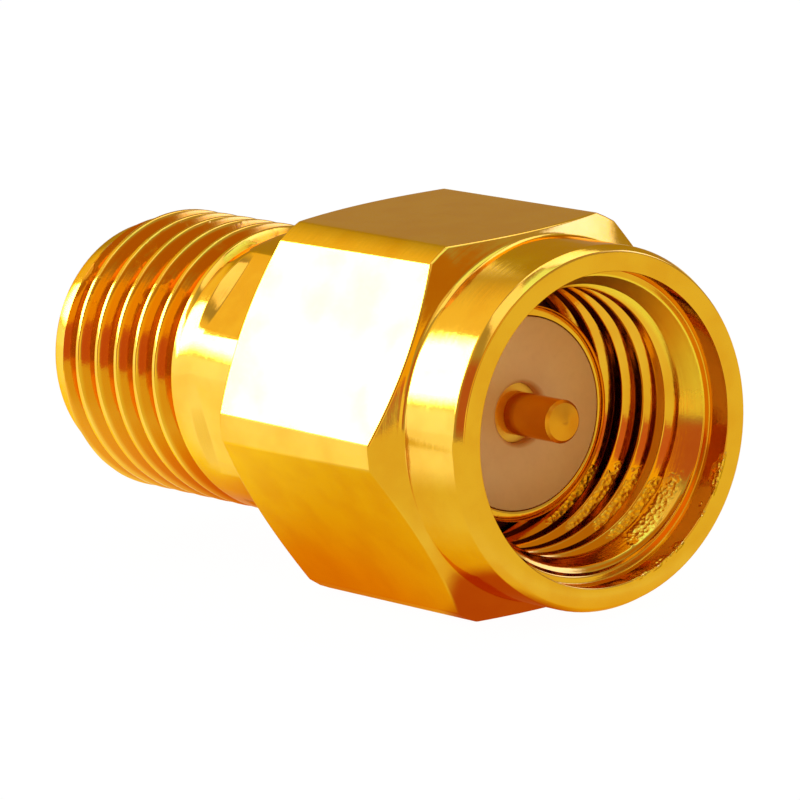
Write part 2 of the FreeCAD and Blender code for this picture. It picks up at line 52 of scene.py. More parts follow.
def nodeSpan(name):
    # where a node starts and ends along the axis, and its largest radius, in millimetres
    low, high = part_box(name)
    return low.x / mm, high.x / mm, (high.z - low.z) / 2 / mm


jackFace, jackShoulder, barrelRadius = nodeSpan("jack_body")
nutBack, nutMouth, nutHalfFlats = nodeSpan("coupling_nut")
hubBack, contactEnd, hubRadius = nodeSpan("plug_body")
insulatorBack, insulatorFace, flangeRadius = nodeSpan("plug_insulator")
jackInsulatorFace, jackInsulatorBack, flangeRadius = nodeSpan("jack_insulator")
gasketBack, gasketFront, gasketRadius = nodeSpan("gasket")
nutLow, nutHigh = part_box("coupling_nut")
nutCorner = (nutHigh.y - nutLow.y) / 2 / mm
axisHeight = (nutLow.z + nutHigh.z) / 2

columns = 120  # every round piece has a column of faces each 3 degrees
columnAngle = math.tau / columns


def angleOf(corner):
    return math.atan2(corner.z, corner.y) % math.tau


def moveTo(corner, along, radius, angle=None):
    turn = angleOf(corner) if angle is None else angle
    corner.x, corner.y, corner.z = along, radius * math.cos(turn), radius * math.sin(turn)


def stations(edge):
    return [corner.co.x for corner in edge.verts]


def sharpEdges(bm, least, keep):
    bm.normal_update()
    return [edge for edge in bm.edges
            if len(edge.link_faces) == 2 and keep(edge) and edge.calc_face_angle(0) > math.radians(least)]


def roundEdges(bm, edges, width, segments=3):
    bmesh.ops.bevel(bm, geom=edges, offset=width, offset_type="OFFSET", segments=segments, profile=0.5,
                    affect="EDGES", clamp_overlap=False, material=-1)


def finishPiece(name, bm, body, slot, *replaced):
    # normals out, millimetres to metres, onto the axis, weighted normals for clean highlights
    bmesh.ops.remove_doubles(bm, verts=bm.verts, dist=1e-4)
    bmesh.ops.recalc_face_normals(bm, faces=bm.faces)
    bmesh.ops.scale(bm, vec=(mm, mm, mm), verts=bm.verts)
    bmesh.ops.translate(bm, vec=(0, 0, axisHeight), verts=bm.verts)
    for face in bm.faces:
        face.smooth = True
    openEdges = sum(edge.is_boundary for edge in bm.edges)
    mesh = bpy.data.meshes.new(name)
    bm.to_mesh(mesh)
    bm.free()
    mesh.set_sharp_from_angle(angle=math.radians(40))
    piece = bpy.data.objects.new(name, mesh)
    bpy.context.scene.collection.objects.link(piece)
    weights = piece.modifiers.new("weights", "WEIGHTED_NORMAL")
    weights.keep_sharp = True
    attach(piece, body)
    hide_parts(*replaced)
    print(name, "has", len(mesh.polygons), "faces,", openEdges, "open edges")
    return piece


# Threads

def softRamp(value, softness):
    # a ramp from 0 to 1 with both of its corners rounded off
    def softAbove(number):
        if number <= -softness:
            return 0.0
        if number >= softness:
            return number
        return (number + softness) ** 2 / (4 * softness)
    return 1 - softAbove(1 - softAbove(value))


def grooveDepth(step, shape):
    # 0 on the crest and 1 at the root; step counts columns' shares of one pitch from the crest's middle
    fromCrest = min(step % columns, columns - step % columns)
    return softRamp((fromCrest - shape["crest"] / 2) / shape["flank"], shape["softness"])


def screwSheet(bm, first, start, end, shape, turn=0.0):
    # a strip one pitch wide is screwed once round the axis and repeated along it, so that its rows follow the
    # thread's own helix; first is where a crest crosses the Y axis, turn is the angle of the first column
    pitch = shape["pitch"]
    share = turn / math.tau
    lowest = first + pitch * (share + math.floor((start - first) / pitch - share) - 1)
    strip = [bm.verts.new((lowest + pitch * row / columns, math.cos(turn), math.sin(turn)))
             for row in shape["rows"] + [columns]]
    edges = [bm.edges.new(pair) for pair in zip(strip, strip[1:])]
    bmesh.ops.spin(bm, geom=strip + edges, cent=(0, 0, 0), axis=(1, 0, 0), dvec=(pitch / columns, 0, 0),
                   angle=math.tau, steps=columns, use_merge=False)
    band = bm.verts[:] + bm.edges[:] + bm.faces[:]
    for repeat in range(1, math.ceil((end - lowest) / pitch) + 1):
        copy = bmesh.ops.duplicate(bm, geom=band)["geom"]
        bmesh.ops.translate(bm, vec=(pitch * repeat, 0, 0),
                            verts=[item for item in copy if isinstance(item, bmesh.types.BMVert)])
    bmesh.ops.remove_doubles(bm, verts=bm.verts, dist=1e-4)


def helixTurn(corner, first, pitch):
    # how many turns along the groove this corner lies, counted from the first crest
    share = angleOf(corner) / math.tau
    if share > 1 - 0.25 / columns:
        share -= 1
    along = (corner.x - first) / pitch - share
    return along, share


def trimSheet(bm, along, keepAbove):
    # cuts the sheet square at a station; the cut meets only corners that lie on columns
    side = {"clear_inner": keepAbove, "clear_outer": not keepAbove}
    bmesh.ops.bisect_plane(bm, geom=bm.verts[:] + bm.edges[:] + bm.faces[:], dist=1e-4,
                           plane_co=(along, 0, 0), plane_no=(1, 0, 0), **side)
    return [edge for edge in bm.edges
            if edge.is_boundary and all(abs(x - along) < sameStation for x in stations(edge))]


def extrudeLoop(bm, loop, station):
    # carries an open edge loop on to the next station of the profile: (along, radius) or a function
    made = bmesh.ops.extrude_edge_only(bm, edges=loop)["geom"]
    corners = {item for item in made if isinstance(item, bmesh.types.BMVert)}
    for corner in corners:
        place = station(angleOf(corner.co)) if callable(station) else station
        moveTo(corner.co, *place)
    return [edge for edge in made if isinstance(edge, bmesh.types.BMEdge) and set(edge.verts) <= corners]


def onFlats(angle, turn, flat, corner):
    # radius of a round bar with six flats, and the column's angle slid so that one column meets each edge
    sixth = math.radians(60)
    fromFlat = (angle - turn + sixth / 2) % sixth - sixth / 2
    middle = angle - fromFlat
    edge = math.acos(flat / corner)
    near = round(edge / columnAngle) * columnAngle
    size = abs(fromFlat)
    if size <= near + 1e-6:
        size *= edge / near
    else:
        size = edge + (size - near) * (sixth / 2 - edge) / (sixth / 2 - near)
    slid = middle + math.copysign(size, fromFlat)
    return min(corner, flat / math.cos(size)), slid


# Jack body: lead, outer thread with its run-out, barrel, wrench flats and the stepped bore
jackBody = {
    "lead": 0.45, "leadRadius": 2.75, "leadCut": 0.3, "leadBreak": 0.05, "taper": 0.35, "threadEnd": 5.0,
    "wrenchBack": 5.45, "wrenchRunOut": 0.25, "wrenchFlat": 2.9, "wrenchTurn": math.radians(13),
    "bore": 2.3, "boreDepth": 1.9, "entry": 0.2,
    "narrowBore": 2.065, "seat": 3.9, "wideBore": 2.21, "spigotSeat": 5.95, "spigotBore": 2.51,
    "runOut": 7.0, "runOutLength": 0.55, "runOutSoftness": 0.1, "shoulderBreak": 0.1, "edgeRound": 0.03,
}
outerThread = {
    "pitch": 25.4 / 36, "depth": 0.4, "crest": 20, "flank": 38, "softness": 0.1, "phase": 0.305,
    "rows": [0, 3, 6, 9, 12, 17, 24, 31, 38, 43, 46, 49, 53, 60, 67, 71, 74, 77, 82, 89, 96, 103, 108, 111, 114,
             117],
}


def makeJackBody():
    size, thread = jackBody, outerThread
    pitch = thread["pitch"]
    bm = bmesh.new()
    leadEnd = jackFace + size["lead"]
    plain = jackFace + size["threadEnd"]
    crestAt = jackFace + thread["phase"]
    screwSheet(bm, crestAt, jackFace, plain, thread, size["wrenchTurn"])
    for corner in bm.verts:
        along, share = helixTurn(corner.co, crestAt, pitch)
        depth = thread["depth"] * grooveDepth(along * columns, thread)
        turn = round(along - 0.5) + 0.5 + share
        depth *= softRamp((size["runOut"] - turn) / size["runOutLength"], size["runOutSoftness"])
        upTaper = (corner.co.x - leadEnd) / size["taper"]
        cone = size["leadRadius"] + (barrelRadius - size["leadRadius"]) * upTaper
        outside = min(max(cone, size["leadRadius"]), barrelRadius)
        radius = min(outside, barrelRadius - depth)
        if corner.co.x < leadEnd:
            radius = outside
        moveTo(corner.co, corner.co.x, radius)
    front = trimSheet(bm, jackFace + size["leadCut"], True)
    back = trimSheet(bm, plain, False)
    # forward over the lead's end and down the bore
    for depth, radius in [(size["leadBreak"], size["leadRadius"]), (0, size["leadRadius"] - size["leadBreak"]),
                          (0, size["bore"] + size["entry"]), (size["entry"], size["bore"]),
                          (size["boreDepth"], size["bore"]), (size["boreDepth"], size["narrowBore"]),
                          (size["seat"], size["narrowBore"]), (size["seat"], size["wideBore"]),
                          (size["spigotSeat"], size["wideBore"]), (size["spigotSeat"], size["spigotBore"])]:
        front = extrudeLoop(bm, front, (jackFace + depth, radius))
    # back along the barrel and over the wrench flats
    wrenchBack = jackFace + size["wrenchBack"]

    def wrenchAt(along, cut=0.0):
        def station(angle):
            radius, slid = onFlats(angle, size["wrenchTurn"], size["wrenchFlat"], barrelRadius)
            return along, min(radius, barrelRadius - cut), slid
        return station

    back = extrudeLoop(bm, back, (wrenchBack, barrelRadius))
    back = extrudeLoop(bm, back, wrenchAt(wrenchBack + size["wrenchRunOut"]))
    back = extrudeLoop(bm, back, wrenchAt(jackShoulder - size["shoulderBreak"]))
    back = extrudeLoop(bm, back, wrenchAt(jackShoulder, size["shoulderBreak"]))
    back = extrudeLoop(bm, back, (jackShoulder, size["spigotBore"]))
    bmesh.ops.bridge_loops(bm, edges=front + back)
    # the milled flats leave thin walls where they miss the barrel, which close up here
    bmesh.ops.remove_doubles(bm, verts=bm.verts, dist=1e-4)

    def offThread(edge):
        return all(x < jackFace + size["leadCut"] - 0.01 or x > plain + 0.1 for x in stations(edge))

    roundEdges(bm, sharpEdges(bm, 18, offThread), size["edgeRound"], 2)
    return finishPiece("threaded_jack_body", bm, "connector", "gold_plate", "jack_body")


# Coupling nut: hexagon with turned corners, round collar, plain mouth, lead-in cone and inner thread
couplingNut = {
    "collarReach": 1.9, "collarRadius": 3.84, "bevelLength": 0.24, "bevelRadius": 3.73,
    "backRadius": 3.85, "coneSlope": math.tan(math.radians(30)), "hexTurn": math.radians(30),
    "mouthRadius": 3.3, "mouthDepth": 0.6, "leadIn": 3.15, "leadInAngle": math.radians(30),
    "threadRadius": 2.82, "threadEnd": 4.4, "relief": 3.2, "reliefEnd": 5.6,
    "bore": 2.95, "pocket": 3.3, "pocketFront": 6.23, "pocketBack": 6.97,
    "edgeRound": 0.045, "rootRound": 0.09, "mouthRound": 0.03,
}
innerThread = {
    "pitch": 25.4 / 36, "depth": 0.31, "crest": 48, "flank": 32, "softness": 0.08, "phase": 0.653,
    "rows": [0, 8, 16, 20, 23, 26, 30, 35, 40, 45, 50, 53, 57, 60, 63, 67, 70, 75, 80, 85, 90, 94, 97, 100, 104,
             112],
}


def makeCouplingNut():
    size, thread = couplingNut, innerThread
    pitch = thread["pitch"]
    bm = bmesh.new()
    mouthFloor = nutMouth - size["mouthDepth"]
    threadEnd = nutMouth - size["threadEnd"]
    screwSheet(bm, threadEnd + thread["phase"], threadEnd, nutMouth, thread)
    for corner in bm.verts:
        along, share = helixTurn(corner.co, threadEnd + thread["phase"], pitch)
        groove = size["threadRadius"] + thread["depth"] * grooveDepth(along * columns, thread)
        cone = size["leadIn"] - (mouthFloor - corner.co.x) * math.tan(size["leadInAngle"])
        moveTo(corner.co, corner.co.x, max(groove, min(cone, size["leadIn"])))
    back = trimSheet(bm, threadEnd, True)
    front = trimSheet(bm, mouthFloor - 0.02, False)
    front = extrudeLoop(bm, front, (mouthFloor, size["leadIn"]))
    front = extrudeLoop(bm, front, (mouthFloor, size["mouthRadius"]))
    front = extrudeLoop(bm, front, (nutMouth, size["mouthRadius"]))
    front = extrudeLoop(bm, front, (nutMouth, size["bevelRadius"]))
    front = extrudeLoop(bm, front, (nutMouth - size["bevelLength"], size["collarRadius"]))
    collarRoot = nutMouth - size["collarReach"]
    front = extrudeLoop(bm, front, (collarRoot, size["collarRadius"]))

    def coneFront(angle):
        radius, slid = onFlats(angle, size["hexTurn"], nutHalfFlats, nutCorner)
        return collarRoot - (radius - size["collarRadius"]) * size["coneSlope"], radius, slid

    def coneBack(angle):
        radius, slid = onFlats(angle, size["hexTurn"], nutHalfFlats, nutCorner)
        return nutBack + (radius - size["backRadius"]) * size["coneSlope"], radius, slid

    front = extrudeLoop(bm, front, coneFront)
    front = extrudeLoop(bm, front, coneBack)
    front = extrudeLoop(bm, front, (nutBack, size["backRadius"]))
    for depth, radius in [(nutMouth - nutBack, size["bore"]), (size["pocketBack"], size["bore"]),
                          (size["pocketBack"], size["pocket"]), (size["pocketFront"], size["pocket"]),
                          (size["pocketFront"], size["bore"]), (size["reliefEnd"], size["bore"]),
                          (size["reliefEnd"], size["relief"]), (size["threadEnd"], size["relief"])]:
        front = extrudeLoop(bm, front, (nutMouth - depth, radius))
    bmesh.ops.bridge_loops(bm, edges=front + back)
    outside = size["mouthRadius"] + 0.05

    def isOutside(edge):
        return all(math.hypot(corner.co.y, corner.co.z) > outside for corner in edge.verts)

    def isRoot(edge):
        return isOutside(edge) and all(abs(x - collarRoot) < sameStation for x in stations(edge))

    def onHexagon(edge):
        return isOutside(edge) and max(stations(edge)) < collarRoot - 0.02

    def atMouth(edge):
        return min(stations(edge)) > mouthFloor - sameStation

    roundEdges(bm, sharpEdges(bm, 15, isRoot), size["rootRound"])
    roundEdges(bm, sharpEdges(bm, 24, onHexagon), size["edgeRound"])
    roundEdges(bm, sharpEdges(bm, 15, atMouth), size["mouthRound"])
    return finishPiece("threaded_coupling_nut", bm, "nut", "gold_plate", "coupling_nut")


# Turned pieces: an outline spun round the axis, with its corners rounded first

def turnedPiece(name, slot, replaced, outline, edgeRound, segments=2):
    bm = bmesh.new()
    corners = [bm.verts.new((along, radius, 0)) for along, radius in outline]
    for pair in zip(corners, corners[1:] + corners[:1]):
        bm.edges.new(pair)
    bmesh.ops.bevel(bm, geom=corners, offset=edgeRound, segments=segments, profile=0.5, affect="VERTICES",
                    clamp_overlap=True, material=-1)
    bmesh.ops.spin(bm, geom=bm.verts[:] + bm.edges[:], cent=(0, 0, 0), axis=(1, 0, 0), dvec=(0, 0, 0),
                   angle=math.tau, steps=columns, use_merge=True)
    return finishPiece(name, bm, "connector", slot, replaced)


plugBody = {
    "hubFront": 2.6, "hubLength": 2.6, "contact": 2.295, "bore": 2.065, "wideBore": 2.21, "seat": 4.8,
    "grooveFront": 3.58, "grooveBack": 4.02, "grooveFloor": 2.5, "spigot": 2.5, "edgeRound": 0.04,
}
insulators = {"sleeve": 2.055, "hole": 0.645, "holeBreak": 0.07, "flange": 0.4, "edgeRound": 0.03}
gasketRing = {"inside": 2.315, "edgeRound": 0.15}


def makePlugBody():
    size = plugBody
    hubFront = contactEnd - size["hubFront"]
    grooveFront = contactEnd - size["grooveFront"]
    grooveBack = contactEnd - size["grooveBack"]
    seat = contactEnd - size["seat"]
    return turnedPiece("turned_plug_body", "gold_plate", "plug_body", [
        (hubBack, size["wideBore"]), (seat, size["wideBore"]), (seat, size["bore"]), (contactEnd, size["bore"]),
        (contactEnd, size["contact"]), (hubFront, size["contact"]), (hubFront, hubRadius),
        (grooveFront, hubRadius), (grooveFront, size["grooveFloor"]), (grooveBack, size["grooveFloor"]),
        (grooveBack, hubRadius),
        (hubFront - size["hubLength"], hubRadius), (hubFront - size["hubLength"], size["spigot"]),
        (hubBack, size["spigot"]),
    ], size["edgeRound"])


def makeInsulator(name, replaced, face, back, flangeEnd):
    size = insulators
    holeBreak = size["holeBreak"]
    return turnedPiece(name, "insulator_white", replaced, [
        (back, size["hole"]), (face + math.copysign(holeBreak, back - face), size["hole"]),
        (face, size["hole"] + holeBreak), (face, size["sleeve"]), (flangeEnd, size["sleeve"]),
        (flangeEnd, flangeRadius), (back, flangeRadius),
    ], size["edgeRound"])


jack = makeJackBody()
nut = makeCouplingNut()
plug = makePlugBody()
plugSleeve = makeInsulator("plug_insulator_sleeve", "plug_insulator", insulatorFace, insulatorBack,
                           insulatorBack + insulators["flange"])
jackSleeve = makeInsulator("jack_insulator_sleeve", "jack_insulator", jackInsulatorFace, jackInsulatorBack,
                           jackInsulatorBack - insulators["flange"])
washer = turnedPiece("soft_gasket", "gasket_rubber", "gasket", [
    (gasketBack, gasketRing["inside"]), (gasketFront, gasketRing["inside"]), (gasketFront, gasketRadius),
    (gasketBack, gasketRadius)], gasketRing["edgeRound"], 4)

# Camera, at the photograph's own angle
cameraView = {"azimuth": 36.99, "elevation": 12.25, "roll": -4.675, "distance": 171.7, "lens": 360.4,
              "aim": (0.34, 0.45, 3.62)}


def makeCamera():
    view = cameraView
    azimuth, elevation = math.radians(view["azimuth"]), math.radians(view["elevation"])
    back = Vector((math.cos(elevation) * math.cos(azimuth), -math.cos(elevation) * math.sin(azimuth),
                   math.sin(elevation)))
    data = bpy.data.cameras.new("camera")
    data.lens = view["lens"]
    data.sensor_width = 36
    data.clip_start = 0.001
    camera = bpy.data.objects.new("camera", data)
    turn = back.to_track_quat("Z", "Y").to_matrix() @ Matrix.Rotation(math.radians(view["roll"]), 3, "Z")
    place = (Vector(view["aim"]) + back * view["distance"]) * mm
    camera.matrix_world = Matrix.Translation(place) @ turn.to_4x4()
    bpy.context.scene.collection.objects.link(camera)
    bpy.context.scene.camera = camera


makeCamera()


# Finishes, worked out in millimetres from the connector's own axis

class Level:
    # a number that varies over a surface; sums on it add Math nodes to its finish
    def __init__(self, finish, socket):
        self.finish, self.socket = finish, socket

    def math(self, operation, *values):
        made = self.finish.node("ShaderNodeMath", {"operation": operation}, values)
        return Level(self.finish, made.outputs[0])

    def __add__(self, other):
        return self.math("ADD", self, other)

    def __sub__(self, other):
        return self.math("SUBTRACT", self, other)

    def __rsub__(self, other):
        return self.math("SUBTRACT", other, self)

    def __mul__(self, other):
        return self.math("MULTIPLY", self, other)

    def __truediv__(self, other):
        return self.math("DIVIDE", self, other)

    def __pow__(self, other):
        return self.math("POWER", self, other)

    __radd__, __rmul__ = __add__, __mul__

    def rise(self, low, high):
        # 0 at low and 1 at high, with soft ends
        ramp = self.finish.node("ShaderNodeMapRange", {"interpolation_type": "SMOOTHSTEP"},
                                {"Value": self, "From Min": low, "From Max": high})
        return Level(self.finish, ramp.outputs["Result"])

    def window(self, low, high, soft):
        return self.rise(low - soft, low + soft) * (1 - self.rise(high - soft, high + soft))


class Finish:
    def __init__(self, name, **fixed):
        self.material = bpy.data.materials.new(name)
        self.material.use_nodes = True
        self.tree = self.material.node_tree
        self.shader = self.tree.nodes["Principled BSDF"]
        for socket, value in fixed.items():
            self.feed(self.shader.inputs[socket.replace("_", " ")], value)
        place = self.node("ShaderNodeTexCoord").outputs["Object"]
        self.place = self.node("ShaderNodeMapping", {}, {
            "Vector": place, "Scale": (1 / mm,) * 3, "Location": (0, 0, -axisHeight / mm)}).outputs["Vector"]
        parts = self.node("ShaderNodeSeparateXYZ", {}, {"Vector": self.place}).outputs
        self.x, self.y, self.z = (Level(self, part) for part in parts)
        self.radius = (self.y * self.y + self.z * self.z) ** 0.5

    def feed(self, socket, value):
        if isinstance(value, Level):
            self.tree.links.new(value.socket, socket)
        elif isinstance(value, bpy.types.NodeSocket):
            self.tree.links.new(value, socket)
        else:
            socket.default_value = (*value, 1) if socket.type == "RGBA" and len(value) == 3 else value

    def node(self, kind, settings=None, sockets=()):
        made = self.tree.nodes.new(kind)
        for setting, value in (settings or {}).items():
            if setting == "stops":
                while len(made.color_ramp.elements) < len(value):
                    made.color_ramp.elements.new(1)
                for stop, (position, colour) in zip(made.color_ramp.elements, value):
                    stop.position, stop.color = position, (*colour, 1)
            else:
                setattr(made, setting, value)
        for socket, value in (sockets.items() if isinstance(sockets, dict) else enumerate(sockets)):
            self.feed(made.inputs[socket], value)
        return made

    def point(self, x, y, z):
        return self.node("ShaderNodeCombineXYZ", {}, (x, y, z)).outputs[0]

    def noise(self, place, scale, detail=2.0, rough=0.5):
        return Level(self, self.node("ShaderNodeTexNoise", {}, {
            "Vector": place, "Scale": scale, "Detail": detail, "Roughness": rough}).outputs[0])

    def cells(self, place, scale):
        made = self.node("ShaderNodeTexVoronoi", {}, {"Vector": place, "Scale": scale})
        return Level(self, made.outputs["Distance"])

    def mix(self, share, first, second):
        made = self.node("ShaderNodeMix", {"data_type": "RGBA"})
        for socket, value in zip((made.inputs[0], made.inputs[6], made.inputs[7]), (share, first, second)):
            self.feed(socket, value)
        return made.outputs[2]

    def bump(self, height, depth):
        # depth in millimetres
        made = self.node("ShaderNodeBump", {}, {"Height": height, "Distance": depth * mm})
        self.feed(self.shader.inputs["Normal"], made.outputs[0])

    def wear(self, **varied):
        for socket, value in varied.items():
            self.feed(self.shader.inputs[socket.replace("_", " ")], value)
        return self.material


goldPlate = {
    "bright": (0.9, 0.46, 0.035), "deep": (0.86, 0.4, 0.026), "roughness": 0.1, "coat": 0.06,
    "grazing": (0.95, 0.66, 0.3), "relief": 0.004,
    # size, detail and roughness of its clouds, turning marks and pits
    "clouds": (0.9, 3), "cloudEdge": (0.35, 0.7), "marks": (1.0, 3, 0.6), "marksAcross": 9,
    "pits": (9.0, 2, 0.6), "pitEdge": (0.45, 0.8),
}


class MetalFinish(Finish):
    # turned gold plate: clouds of tone, marks round the axis, pits, and any deeper or flaked places
    def __init__(self, name, bright, deep, roughness):
        super().__init__(name, Metallic=1.0, Coat_Weight=goldPlate["coat"],
                         Specular_Tint=goldPlate["grazing"])
        across = goldPlate["marksAcross"]
        cloud = self.noise(self.place, *goldPlate["clouds"])
        marks = self.noise(self.point(self.x * across, self.radius * across, 0.0), *goldPlate["marks"])
        pits = self.noise(self.place, *goldPlate["pits"])
        self.colour = self.mix(cloud.rise(*goldPlate["cloudEdge"]), bright, deep)
        self.height = marks * 0.5 + pits * 0.25 + cloud * 0.4
        self.roughness = roughness + marks * 0.04 + pits.rise(*goldPlate["pitEdge"]) * 0.06 - 0.03

    def deepen(self, share, colour):
        self.colour = self.mix(share, self.colour, colour)

    def flake(self, share, scale, height):
        # plate that has creased into small bright facets
        self.height = self.height + self.cells(self.place, scale) * share * height
        self.roughness = self.roughness + share * 0.08

    def finished(self):
        self.bump(self.height, goldPlate["relief"])
        return self.wear(Base_Color=self.colour, Roughness=self.roughness)


def makeGold(name):
    return MetalFinish(name, goldPlate["bright"], goldPlate["deep"], goldPlate["roughness"])


jackWearAndShade = {
    "threadEnd": 5.1, "grooveShadeTint": (0.82, 0.3, 0.01), "rubbedEdge": (0.56, 0.66), "rubbedTop": (1.0, 2.0),
    "rubbedFacets": 6.0, "rubbedHeight": 2.0,
}


def makeJackGold():
    # the grooves are painted a deeper tone as painted shade, and the crests' tops are rubbed
    gold, wear = makeGold("jack_gold"), jackWearAndShade
    onThread = gold.x.window(jackFace + jackBody["lead"], jackFace + wear["threadEnd"], 0.05)
    inGroove = 1 - gold.radius.rise(barrelRadius - 0.1, barrelRadius - 0.02)
    # painted shade: the thread's grooves are painted a deeper orange than the crests
    gold.deepen(onThread * inGroove, wear["grooveShadeTint"])
    spots = gold.noise(gold.place, 1.4, 2).rise(*wear["rubbedEdge"])
    rubbed = onThread * spots * gold.z.rise(*wear["rubbedTop"])
    gold.flake(rubbed, wear["rubbedFacets"], wear["rubbedHeight"])
    return gold.finished()


nutWearAndLight = {
    # where each begins and is full, across Y or up Z
    "creaseSide": (1.1, 1.3), "creaseTop": (-1.8, -1.6), "leadInTop": (-0.8, 0.4),
    "nickSide": (0.3, 0.9), "nickTop": (-1.4, -0.9), "nickEdge": (0.48, 0.6),
    "creaseTintAndHighlight": (1.0, 0.6, 0.05), "creaseFacets": 10.0, "creaseHeight": 4.0, "creaseDulling": 0.1,
    "leadInHighlightTint": (1.0, 0.68, 0.06), "leadInDulling": 0.2, "nickFacets": 8.0, "nickHeight": 20.0,
}


def makeNutGold():
    # a creased patch in the inner thread with a lighter tint that is partly a painted highlight, a lead-in
    # painted paler on its upper side as a painted highlight, and nicks round the mouth's edge
    gold, size, wear = makeGold("nut_gold"), couplingNut, nutWearAndLight
    mouthFloor = nutMouth - size["mouthDepth"]
    onThread = gold.x.window(nutMouth - size["threadEnd"], mouthFloor - 0.2, 0.05)
    inside = 1 - gold.radius.rise(size["leadIn"], size["leadIn"] + 0.05)
    flank = inside * gold.radius.rise(size["threadRadius"] + 0.03, size["threadRadius"] + 0.08)
    wander = gold.noise(gold.place, 4.0, 2) * 0.8 - 0.4
    patch = (gold.y + wander).rise(*wear["creaseSide"]) * (1 - (gold.z + wander).rise(*wear["creaseTop"]))
    creased = onThread * flank * patch
    # the crease's facets and dulling are real; its lighter tint is partly a painted highlight
    gold.deepen(creased, wear["creaseTintAndHighlight"])
    gold.flake(creased, wear["creaseFacets"], wear["creaseHeight"])
    # painted highlight: the lead-in's upper side is painted a paler gold
    onLeadIn = gold.x.window(mouthFloor - 0.75, mouthFloor + 0.02, 0.04)
    leadIn = inside * onLeadIn * gold.z.rise(*wear["leadInTop"])
    gold.deepen(leadIn, wear["leadInHighlightTint"])
    gold.roughness = gold.roughness + creased * wear["creaseDulling"] + leadIn * wear["leadInDulling"]
    lowSide = gold.y.rise(*wear["nickSide"]) * (1 - gold.z.rise(*wear["nickTop"]))
    rim = gold.radius.window(size["mouthRadius"] - 0.05, size["mouthRadius"] + 0.06, 0.02)
    rim = rim * gold.x.rise(nutMouth - 0.3, nutMouth - 0.1)
    nicked = rim * lowSide * gold.noise(gold.place, 2.5, 2).rise(*wear["nickEdge"])
    gold.flake(nicked, wear["nickFacets"], wear["nickHeight"])
    return gold.finished()


contactWearAndLight = {
    "bright": (0.82, 0.34, 0.02), "deep": (0.76, 0.27, 0.01), "roughness": 0.14,
    "recessPaintedLight": (1.0, 0.6, 0.1), "recessDulling": 0.35, "tipDulling": 0.2, "tip": (6.4, 6.5),
}


def makeContactGold():
    # deeper plate on pin and socket, duller at the pin's tip and where it stands back in its insulator, where
    # it is also painted a lighter gold as painted light in the shaded recess
    wear = contactWearAndLight
    gold = MetalFinish("contact_gold", wear["bright"], wear["deep"], wear["roughness"])
    recess = gold.x.window(0.0, insulatorFace - 0.02, 0.02)
    # painted light: the pin's shaded part inside the recess is painted a lighter gold
    gold.deepen(recess, wear["recessPaintedLight"])
    tip = gold.x.rise(*wear["tip"])
    gold.roughness = gold.roughness + recess * wear["recessDulling"] + tip * wear["tipDulling"]
    return gold.finished()


def makePlain(name, colour, shade, roughness, metallic=0.0, grain=6.0, depth=0.003, **fixed):
    plain = Finish(name, Metallic=metallic, **fixed)
    cloud = plain.noise(plain.place, grain / 6, 3)
    speckle = plain.noise(plain.place, grain, 3, 0.6)
    plain.bump(speckle + cloud * 0.5, depth)
    share = cloud.rise(0.3, 0.7) * 0.6 + speckle.rise(0.4, 0.8) * 0.4
    return plain.wear(Base_Color=plain.mix(share, colour, shade), Roughness=roughness + speckle * 0.1 - 0.05)


gold = makeGold("gold_plate").finished()
jackGold = makeJackGold()
nutGold = makeNutGold()
contactGold = makeContactGold()
bronze = makePlain("spring_bronze", (0.62, 0.36, 0.15), (0.5, 0.26, 0.1), 0.3, 1.0)
# painted reflection: the plug's white insulator is painted tan-orange for the gold it reflects inside the nut
plasticPaintedGoldReflection = makePlain("insulator_painted_gold_reflection", (0.95, 0.5, 0.14), (0.88, 0.44, 0.12), 0.4, Subsurface_Weight=0.1,
                       Subsurface_Scale=0.0004)
whitePlastic = makePlain("insulator_white", (0.87, 0.83, 0.75), (0.8, 0.75, 0.66), 0.4, Subsurface_Weight=0.1,
                         Subsurface_Scale=0.0004)
rubber = makePlain("gasket_rubber", (0.3, 0.05, 0.03), (0.22, 0.03, 0.02), 0.45)
ceramic = makePlain("chip_ceramic", (0.85, 0.84, 0.8), (0.8, 0.78, 0.74), 0.5)
resistor = makePlain("film_resistor", (0.05, 0.06, 0.07), (0.03, 0.035, 0.04), 0.35)
silver = makePlain("film_silver", (0.85, 0.84, 0.82), (0.75, 0.74, 0.72), 0.3, 1.0)

pieceFinishes = {
    jackGold: [jack],
    nutGold: [nut],
    gold: [plug, "carrier_upper", "carrier_lower"],
    contactGold: ["plug_pin", "jack_socket"],
    bronze: ["retaining_ring"],
    plasticPaintedGoldReflection: [plugSleeve],
    whitePlastic: [jackSleeve],
    rubber: [washer],
    ceramic: ["chip_substrate"],
    resistor: ["series_film_input", "series_film_output", "shunt_film_left", "shunt_film_right"],
    silver: ["input_pad", "output_pad", "centre_pad", "ground_strip_left", "ground_strip_right"],
}
for finish, pieces in pieceFinishes.items():
    for piece in pieces:
        piece = bpy.data.objects[piece] if isinstance(piece, str) else piece
        piece.data.materials.clear()
        piece.data.materials.append(finish)
print("finishes done")

